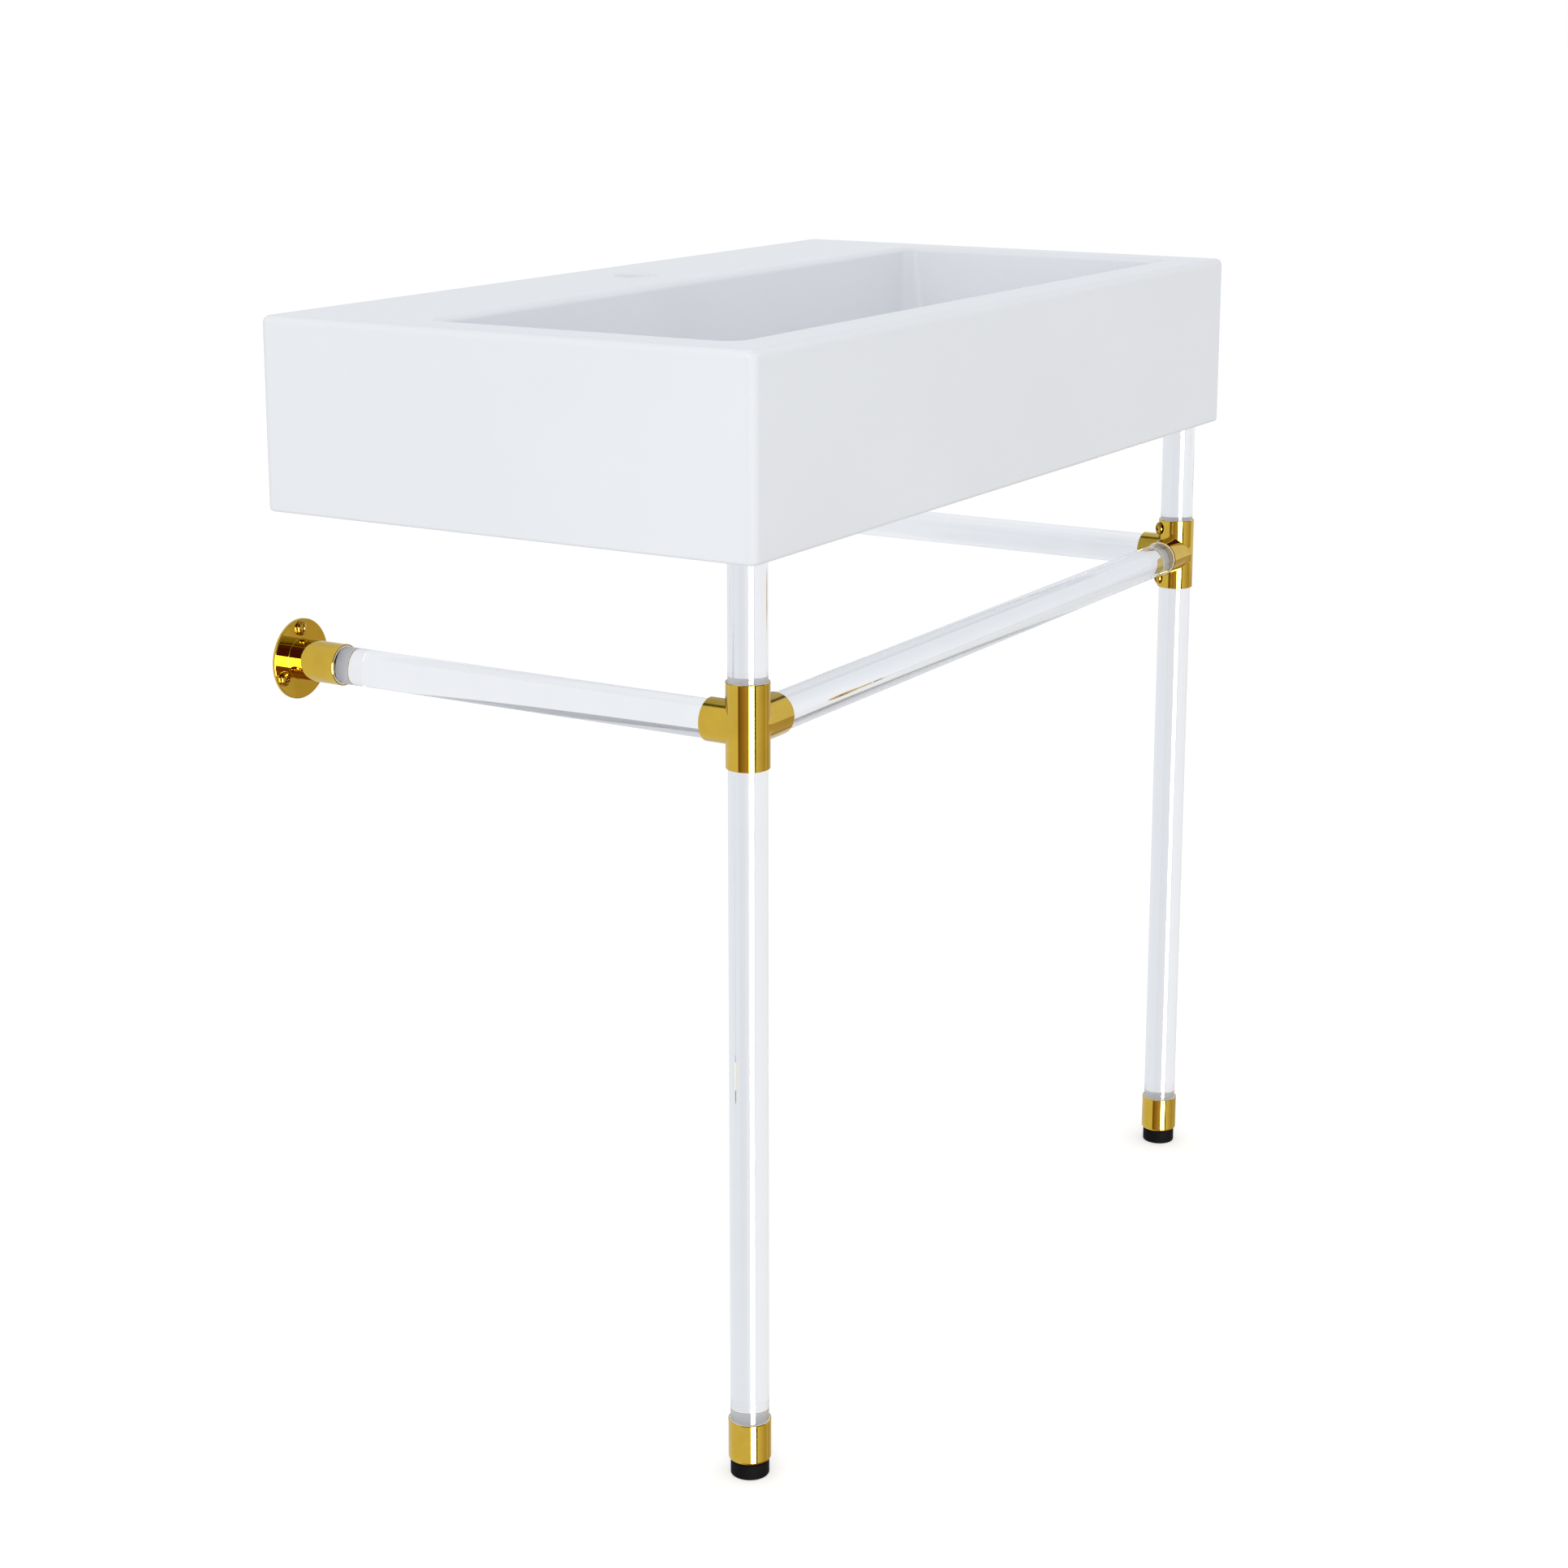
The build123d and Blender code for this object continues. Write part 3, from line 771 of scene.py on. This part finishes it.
def disc_ring(pattern, radius, height):
    """A circle whose points lie at the same bearings as those of a rounded rectangle, with that
    rectangle's sides scaled to a square."""
    spread_x = np.abs(pattern[:, 0]).max()
    from_middle = pattern[:, 1] - bowl_middle
    angle = np.arctan2(from_middle / np.abs(from_middle).max(), pattern[:, 0] / spread_x)
    x, y = radius * np.cos(angle), bowl_middle + radius * np.sin(angle)
    return np.stack([x, y, np.full(len(x), height)], -1)


def outer_ring(inset, height):
    """The slab's outline, moved inwards by an inset."""
    radius = max(side_round - inset, 1 * mm)
    half_y = -basin_front / 2
    return ring(basin_front / 2, half_width - inset, half_y - inset, radius, height)


def bowl_ring(inset, radius, height):
    """The bowl's outline, moved inwards by an inset."""
    return ring(bowl_middle, bowl_half_x - inset, bowl_half_y - inset, radius, height)


def bowl_wall(height):
    """Inset and corner radius of the bowl's leaning wall at one height."""
    down = (basin_top - height) / bowl_depth
    return bowl_draft * down, mouth_corner + (floor_corner - mouth_corner) * down


def basin_rings():
    """One closed profile carried round the slab: outside wall, top edge, rim, bowl, waste hole,
    bowl underside, deck underside and the inside of the skirt."""
    rings = []
    quarter = np.linspace(0, pi / 2, edge_rows)
    for angle in quarter:
        rings.append(
            outer_ring(foot_round * (1 - sin(angle)), basin_bottom + foot_round * (1 - cos(angle)))
        )
    for angle in quarter:
        rings.append(
            outer_ring(top_round * (1 - cos(angle)), basin_top - top_round * (1 - sin(angle)))
        )
    sweep = pi / 2 - lean
    tangent = mouth_round * tan(sweep / 2)
    for angle in np.linspace(0, sweep, mouth_rows):
        inset = mouth_round * sin(angle) - tangent
        radius = mouth_corner + corner_ease - inset
        rings.append(bowl_ring(inset, radius, basin_top - mouth_round * (1 - cos(angle))))
    tangent = cove * tan(sweep / 2)
    start_inset, start_radius = bowl_wall(bowl_floor + cove * (1 - sin(lean)))
    for angle in np.linspace(lean, pi / 2, cove_rows):
        inset = bowl_draft + tangent - cove * cos(angle)
        height = bowl_floor + cove * (1 - sin(angle))
        rings.append(bowl_ring(inset, start_radius - (inset - start_inset), height))
    pattern = rings[-1]
    seat_floor = bowl_floor - dish_drop - seat_drop
    drain_bottom = seat_floor - wall
    for radius, height in (
        (dish_radius, bowl_floor),
        ((dish_radius + seat_radius) / 2, bowl_floor - dish_drop / 2),
        (seat_radius + edge_soft, bowl_floor - dish_drop),
        (seat_radius + soft_in, bowl_floor - dish_drop - soft_down),
        (seat_radius, bowl_floor - dish_drop - edge_soft),
        (seat_radius, seat_floor),
        (drain_radius + edge_soft, seat_floor),
        (drain_radius + soft_in, seat_floor - soft_down),
        (drain_radius, seat_floor - edge_soft),
        (drain_radius, drain_bottom),
    ):
        rings.append(disc_ring(pattern, radius, height))
    tangent = under_cove * tan(sweep / 2)
    end_radius = bowl_wall(bowl_floor)[1]
    for angle in np.linspace(pi / 2, lean, under_rows):
        inset = tangent - under_cove * cos(angle)
        radius = end_radius + wall - inset
        rings.append(bowl_ring(inset, radius, drain_bottom + under_cove * (1 - sin(angle))))
    rings.append(bowl_ring(-wall + 1 * mm, mouth_corner + wall, basin_top - deck))
    cavity_x, cavity_y = half_width - wall, -basin_front / 2 - wall
    for height in (basin_top - deck, basin_bottom):
        rings.append(ring(basin_front / 2, cavity_x, cavity_y, cavity_corner, height))
    rings.append(rings[0])
    rows = np.array(rings)
    return rows.reshape(-1, 3), grid_faces(len(rows), rows.shape[1])


def slab(low, high):
    """A plain block between two corners, as eight points and six quads."""
    (x0, y0, z0), (x1, y1, z1) = low, high
    bottom = np.array([(x0, y0, z0), (x1, y0, z0), (x1, y1, z0), (x0, y1, z0)])
    top = bottom + np.array([0, 0, z1 - z0])
    faces = [(3, 2, 1, 0), (4, 5, 6, 7)]
    faces += [(n, (n + 1) % 4, 4 + (n + 1) % 4, 4 + n) for n in range(4)]
    return np.concatenate([bottom, top]), np.array(faces)


basin = as_object("basin_casting", *basin_rings())
pocket_rim = basin_top - 140 * mm
pocket_gap, pocket_lead = 0.3 * mm, 6 * mm
block_reach = 62 * mm
bolt_spacing = 280 * mm
bolt_pad = 28 * mm
bolt_pad_face = -14 * mm
bolt_radius, bolt_lead, bolt_length = 7 * mm, 10 * mm, 40 * mm
overlap = 4 * mm
for side in sides:
    outward = -inward[side]
    near, far = outward * (half_width - overlap), outward * (half_width - block_reach)
    low = (min(near, far), basin_front + overlap, pocket_rim)
    high = (max(near, far), basin_front + block_reach, basin_top - deck + overlap)
    combine(basin, as_object("block", *slab(low, high)), "UNION")
    pad_x = outward * bolt_spacing / 2
    low = (pad_x - bolt_pad, bolt_pad_face, -bolt_pad)
    high = (pad_x + bolt_pad, -overlap, bolt_pad)
    combine(basin, as_object("block", *slab(low, high)), "UNION")
for side in sides:
    bolt = [(0, 0), (bolt_radius, 0), (bolt_radius, bolt_length), (0, bolt_length)]
    place = (-inward[side] * bolt_spacing / 2, bolt_lead, 0)
    combine(basin, as_object("hole", *turned(bolt, place, (0, -1, 0), 64)), "DIFFERENCE")
    low, high = node_box(f"leg_top_cap_{side}")
    reach = high[2] - pocket_rim
    radius = (high[0] - low[0]) / 2 + pocket_gap
    pocket = [(0, -pocket_lead), (radius, -pocket_lead), (radius, reach), (0, reach)]
    place = (leg_x[side], leg_y, pocket_rim)
    combine(basin, as_object("pocket", *turned(pocket, place, (0, 0, 1), 96)), "DIFFERENCE")
tap_radius = 17.5 * mm
tap_round = 4.5 * mm
tap_lip, tap_lead, tap_reach = 0.02 * mm, 9 * mm, 40 * mm
flare = corner(tap_radius + tap_round, tap_lip - tap_round, tap_round, 180, 90, 14)
tap_tool = [
    (0, -tap_reach),
    (tap_radius, -tap_reach),
    *flare,
    (tap_radius + tap_round, tap_lead),
    (0, tap_lead),
]
place = (0, -deck_depth / 2, basin_top)
combine(basin, as_object("tap_hole", *turned(tap_tool, place, (0, 0, 1), 128)), "DIFFERENCE")
fit(basin, glaze, "root", "glazed_ceramic", "basin")

# Studio
# A white floor before a white background. The polished brass gets its bands from a soft box beside
# the camera and from a coloured surround, which both show in mirrors only.
camera_yaw = radians(30.85)
camera_pitch = radians(12.59)
toward_camera = camera_yaw + pi
floor_z = node_box("foot_pad_left")[0][2]
floor_reach = 60.0
floor_glow = 0.33
floor_mesh = bpy.data.meshes.new("floor")
floor_mesh.from_pydata(
    [(x * floor_reach, y * floor_reach, floor_z) for x, y in ((-1, -1), (1, -1), (1, 1), (-1, 1))],
    [],
    [(0, 1, 2, 3)],
)
floor = bpy.data.objects.new("floor", floor_mesh)
bpy.context.scene.collection.objects.link(floor)
floor_paint, floor_tree, floor_shader = node_material("white_floor")
floor_shader.inputs["Base Color"].default_value = (0.86, 0.86, 0.86, 1)
floor_shader.inputs["Roughness"].default_value = 0.9
floor_shader.inputs["Specular IOR Level"].default_value = 0.0
floor_shader.inputs["Emission Color"].default_value = (1, 1, 1, 1)
floor_path = floor_tree.nodes.new("ShaderNodeLightPath")
lift = floor_tree.nodes.new("ShaderNodeMath")
lift.operation = "MULTIPLY"
lift.inputs[1].default_value = floor_glow
floor_tree.links.new(floor_path.outputs["Is Camera Ray"], lift.inputs[0])
floor_tree.links.new(lift.outputs[0], floor_shader.inputs["Emission Strength"])
floor_mesh.materials.append(floor_paint)
floor.visible_glossy = False
floor.visible_transmission = False

world = bpy.data.worlds.new("white_room")
bpy.context.scene.world = world
world.use_nodes = True
world_tree = world.node_tree
world_tree.nodes.clear()


def wired(node, *values):
    """Sets a world node's inputs in order, each to a plain value or to another node's socket."""
    for socket, value in zip(node.inputs, values):
        if isinstance(value, bpy.types.NodeSocket):
            world_tree.links.new(value, socket)
        else:
            socket.default_value = value
    return node.outputs[0]


def sums(operation, *values):
    """A math node of the world."""
    node = world_tree.nodes.new("ShaderNodeMath")
    node.operation = operation
    return wired(node, *values)


def blend(factor, first, second):
    """A colour that goes from the first to the second as the factor goes from 0 to 1."""
    return wired(world_tree.nodes.new("ShaderNodeMixRGB"), factor, first, second)


def between(angle, low, high, soft):
    """One where an angle lies between two limits in degrees, zero elsewhere, with soft edges."""
    edges = []
    for limit, start, end in ((low, 0.0, 1.0), (high, 1.0, 0.0)):
        node = world_tree.nodes.new("ShaderNodeMapRange")
        node.interpolation_type = "SMOOTHSTEP"
        first, last = radians(limit - soft / 2), radians(limit + soft / 2)
        edges.append(wired(node, angle, first, last, start, end))
    return sums("MULTIPLY", *edges)


def rise(angle, low, high):
    """Zero below one angle in degrees, one above another, and a straight climb between."""
    node = world_tree.nodes.new("ShaderNodeMapRange")
    return wired(node, angle, radians(low), radians(high), 0.0, 1.0)


# The surround as the polished pieces see it. Bearings run from the camera's side of the room
# towards its right, and heights from the horizon up.
white = (1.0, 1.0, 1.0, 1.0)
black_gap = (0.01, 0.01, 0.01, 1.0)
dark_wood = (0.26, 0.14, 0.02, 1.0)
pale_wood = (0.66, 0.49, 0.34, 1.0)
dim_cloth = (0.66, 0.56, 0.36, 1.0)
dark_ceiling = (0.16, 0.05, 0.01, 1.0)
dark_shelf = (0.12, 0.03, 0.06, 1.0)
even_light = (0.8, 0.8, 0.8, 1.0)
grey_side = (0.82, 0.84, 0.87, 1.0)
clear_side = (0.93, 0.94, 0.96, 1.0)
dark_floor = (0.42, 0.20, 0.05, 1.0)
grey_back = (0.82, 0.845, 0.88, 1.0)
place = world_tree.nodes.new("ShaderNodeTexCoord")
facing = world_tree.nodes.new("ShaderNodeMapping")
facing.inputs["Rotation"].default_value = (0, 0, -toward_camera)
world_tree.links.new(place.outputs["Generated"], facing.inputs["Vector"])
parts = world_tree.nodes.new("ShaderNodeSeparateXYZ")
world_tree.links.new(facing.outputs["Vector"], parts.inputs[0])
bearing = sums("ARCTAN2", parts.outputs["Y"], parts.outputs["X"])
height = sums("ARCSINE", parts.outputs["Z"])


def zone(bearings, heights, soft=1.0):
    """One inside a window of bearings and heights, in degrees."""
    return sums("MULTIPLY", between(bearing, *bearings, soft), between(height, *heights, soft))


wood = blend(rise(bearing, -48, -6), dark_wood, pale_wood)
cloth = blend(rise(bearing, 46, 90), white, dim_cloth)
mirrored = blend(zone((45, 104), (-60, 6), 3), white, cloth)
mirrored = blend(zone((108, 150), (-60, -11)), mirrored, dim_cloth)
mirrored = blend(rise(sums("ABSOLUTE", bearing), 130, 160), mirrored, grey_back)
mirrored = blend(zone((-50, 150), (-95, -33), 6), mirrored, dark_floor)
mirrored = blend(zone((-51, 7), (-25, 9.5), 5), mirrored, wood)
mirrored = blend(zone((-60, 130), (40, 95), 3), mirrored, dark_ceiling)
mirrored = blend(zone((-3, 60), (9.5, 42), 2), mirrored, dark_shelf)
mirrored = blend(zone((33, 41), (-33, 39)), mirrored, black_gap)
through = blend(between(bearing, 60, 178, 12), clear_side, grey_side)
path = world_tree.nodes.new("ShaderNodeLightPath")
shown = blend(path.outputs["Is Glossy Ray"], even_light, mirrored)
shown = blend(path.outputs["Is Transmission Ray"], shown, through)
shown = blend(path.outputs["Is Camera Ray"], shown, white)
surround = wired(world_tree.nodes.new("ShaderNodeBackground"), shown, 1.0)
world_out = world_tree.nodes.new("ShaderNodeOutputWorld")
world_tree.links.new(surround, world_out.inputs["Surface"])

# The soft box, far off so that it stands at the same bearings for every piece. It only shows in
# mirrors, and is linked to leave out the glaze, which would burn out from other sides.
box_turn, box_spread, box_foot, box_head = [radians(a) for a in (19.5, 13.5, -33, 9.5)]
box_distance = 40.0
box_strength = 20.0
box_bearing = toward_camera + box_turn
box_half = box_distance * tan(box_spread)
box_low, box_high = box_distance * tan(box_foot), box_distance * tan(box_head)
box_out = np.array([cos(box_bearing), sin(box_bearing), 0]) * box_distance
box_across = np.array([-sin(box_bearing), cos(box_bearing), 0]) * box_half
box_base = np.array([0, leg_y / 2, rail_z]) + box_out
box_mesh = bpy.data.meshes.new("soft_box")
box_mesh.from_pydata(
    [
        (box_base + sign * box_across + np.array([0, 0, height])).tolist()
        for sign, height in ((-1, box_low), (1, box_low), (1, box_high), (-1, box_high))
    ],
    [],
    [(0, 1, 2, 3)],
)
soft_box = bpy.data.objects.new("soft_box", box_mesh)
bpy.context.scene.collection.objects.link(soft_box)
box_paint = bpy.data.materials.new("soft_box_light")
box_paint.use_nodes = True
box_tree = box_paint.node_tree
box_tree.nodes.clear()
box_glow = box_tree.nodes.new("ShaderNodeEmission")
box_glow.inputs["Strength"].default_value = box_strength
box_clear = box_tree.nodes.new("ShaderNodeBsdfTransparent")
box_sum = box_tree.nodes.new("ShaderNodeAddShader")
box_out_node = box_tree.nodes.new("ShaderNodeOutputMaterial")
box_tree.links.new(box_glow.outputs[0], box_sum.inputs[0])
box_tree.links.new(box_clear.outputs[0], box_sum.inputs[1])
box_tree.links.new(box_sum.outputs[0], box_out_node.inputs["Surface"])
box_paint.cycles.emission_sampling = "NONE"
box_mesh.materials.append(box_paint)
soft_box.visible_camera = False
soft_box.visible_diffuse = False
soft_box.visible_transmission = False
soft_box.visible_shadow = False
shone_on = bpy.data.collections.new("soft_box_receivers")
shone_on.objects.link(basin)
shone_on.collection_objects[0].light_linking.link_state = "EXCLUDE"
soft_box.light_linking.receiver_collection = shone_on

lamp_data = bpy.data.lights.new("key_light", "AREA")
lamp_data.shape = "RECTANGLE"
lamp_size, lamp_power = 2.4, 40
lamp_data.size, lamp_data.size_y = lamp_size, lamp_size
lamp_data.energy = lamp_power
lamp = bpy.data.objects.new("key_light", lamp_data)
bpy.context.scene.collection.objects.link(lamp)
aim = Vector((0, basin_front / 2, basin_top))
lamp_bearing, lamp_rise, lamp_distance = toward_camera - radians(4), radians(20), 4.0
lamp_direction = Vector(
    (cos(lamp_bearing) * cos(lamp_rise), sin(lamp_bearing) * cos(lamp_rise), sin(lamp_rise))
)
lamp.location = aim + lamp_distance * lamp_direction
lamp.rotation_euler = (-lamp_direction).to_track_quat("-Z", "Y").to_euler()
lamp.visible_camera = False
lamp.visible_glossy = False
lamp.visible_transmission = False

# Camera
# It stands to the left in front of the basin, a little over its top.
camera_data = bpy.data.cameras.new("camera")
camera = bpy.data.objects.new("camera", camera_data)
bpy.context.scene.collection.objects.link(camera)
camera_x, camera_y, camera_rise = -2.1412, -1.4993, 0.2408
camera_data.sensor_width = 36.0
camera_data.lens = 66.46
camera_data.shift_y = -0.09
camera.location = (camera_x, camera_y, basin_top + camera_rise)
level = cos(camera_pitch)
gaze = Vector((cos(camera_yaw) * level, sin(camera_yaw) * level, -sin(camera_pitch)))
camera.rotation_euler = gaze.to_track_quat("-Z", "Y").to_euler()
camera_data.clip_end = 200
bpy.context.scene.camera = camera
bpy.context.scene.view_settings.view_transform = "Standard"
